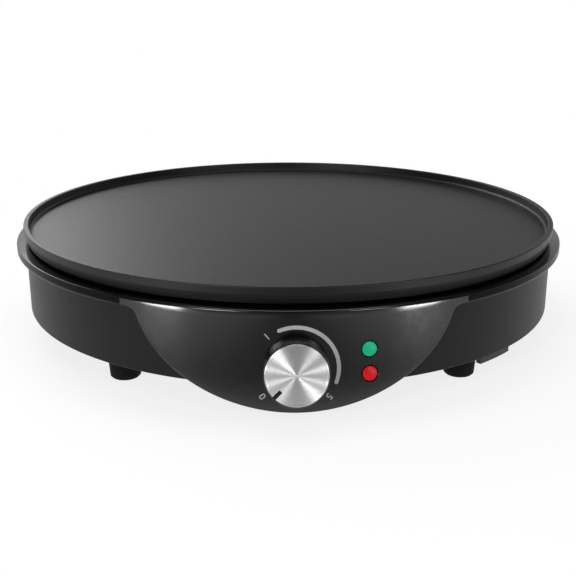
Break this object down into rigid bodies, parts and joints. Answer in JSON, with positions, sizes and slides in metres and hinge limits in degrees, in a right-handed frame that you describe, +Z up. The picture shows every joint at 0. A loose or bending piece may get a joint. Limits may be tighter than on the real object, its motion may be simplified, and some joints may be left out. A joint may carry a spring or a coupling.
{
  "type": "electric crepe maker",
  "caption": "Round countertop crepe maker: raised-rim non-stick hotplate on a low base with a gloss front panel, heat control knob and indicator lamps.",
  "frame": {"origin": "on the hotplate's axis, in the plane that the feet stand on", "axes": "+Z up along the hotplate's axis; the front panel faces -Y and the cord inlet faces +Y; +X is the right-hand side seen from the front"},
  "size_m": [0.3136, 0.3297, 0.062],
  "materials": {
    "nonstick_aluminium": "dark grey non-stick coating on cast aluminium",
    "element_sheath": "oxidised steel sheath",
    "copper": "drawn copper",
    "zinc_steel": "zinc plated",
    "fuse_sleeve": "glass-fibre sleeve",
    "shield_steel": "aluminised sheet steel",
    "mica": "mica",
    "base_plastic": "satin dark grey",
    "panel_gloss": "gloss black",
    "cover_plastic": "matt black",
    "foot_rubber": "matt black",
    "gland_rubber": "matt black",
    "block_ceramic": "glazed",
    "brass": "machined",
    "control_ceramic": "unglazed",
    "knob_plastic": "semi-gloss black",
    "spun_aluminium": "spun-brushed, with fine turned rings",
    "lens_green": "translucent green",
    "lens_red": "translucent red",
    "lamp_glass": "clear glass",
    "wire_brown": "silicone insulation",
    "wire_red": "silicone insulation",
    "wire_blue": "silicone insulation",
    "wire_green": "silicone insulation"
  },
  "bodies": {
    "root": {"hotplate": "nonstick_aluminium", "heating_element": "element_sheath", "thermostat_bulb": "copper", "thermostat_tube": "copper", "bulb_clip": "zinc_steel", "thermal_fuse": "fuse_sleeve", "fuse_clip": "zinc_steel", "clip_screws": "zinc_steel", "heat_shield": "shield_steel", "insulating_washers": "mica", "plate_screws": "zinc_steel", "base_housing": "base_plastic", "control_panel": "panel_gloss", "panel_screws": "zinc_steel", "bottom_cover": "cover_plastic", "cover_screws": "zinc_steel", "foot_front_left": "foot_rubber", "foot_front_right": "foot_rubber", "foot_rear_left": "foot_rubber", "foot_rear_right": "foot_rubber", "foot_screws": "zinc_steel", "cord_gland": "gland_rubber", "terminal_block": "block_ceramic", "terminal_screws": "brass", "block_screws": "zinc_steel", "thermostat": "control_ceramic", "thermostat_bracket": "zinc_steel", "thermostat_screws": "zinc_steel", "bracket_screws": "zinc_steel", "lens_green": "lens_green", "lens_red": "lens_red", "lamp_green": "lamp_glass", "lamp_red": "lamp_glass", "lamp_holder": "cover_plastic", "lamp_holder_screw": "zinc_steel", "wire_live": "wire_brown", "wire_switched": "wire_red", "wire_fused": "wire_red", "wire_neutral": "wire_blue", "wire_earth": "wire_green", "earth_screw": "zinc_steel"},
    "knob_body": {"thermostat_shaft": "brass", "knob": "knob_plastic", "knob_cap": "spun_aluminium", "knob_clip": "zinc_steel"}
  },
  "joints": [
    {"name": "knob_turn", "type": "hinge", "parent": "root", "child": "knob_body", "pos_m": [0, -0.16024, 0.026], "axis": [0, 0.9925, -0.1219], "range_deg": [0, 270]}
  ]
}
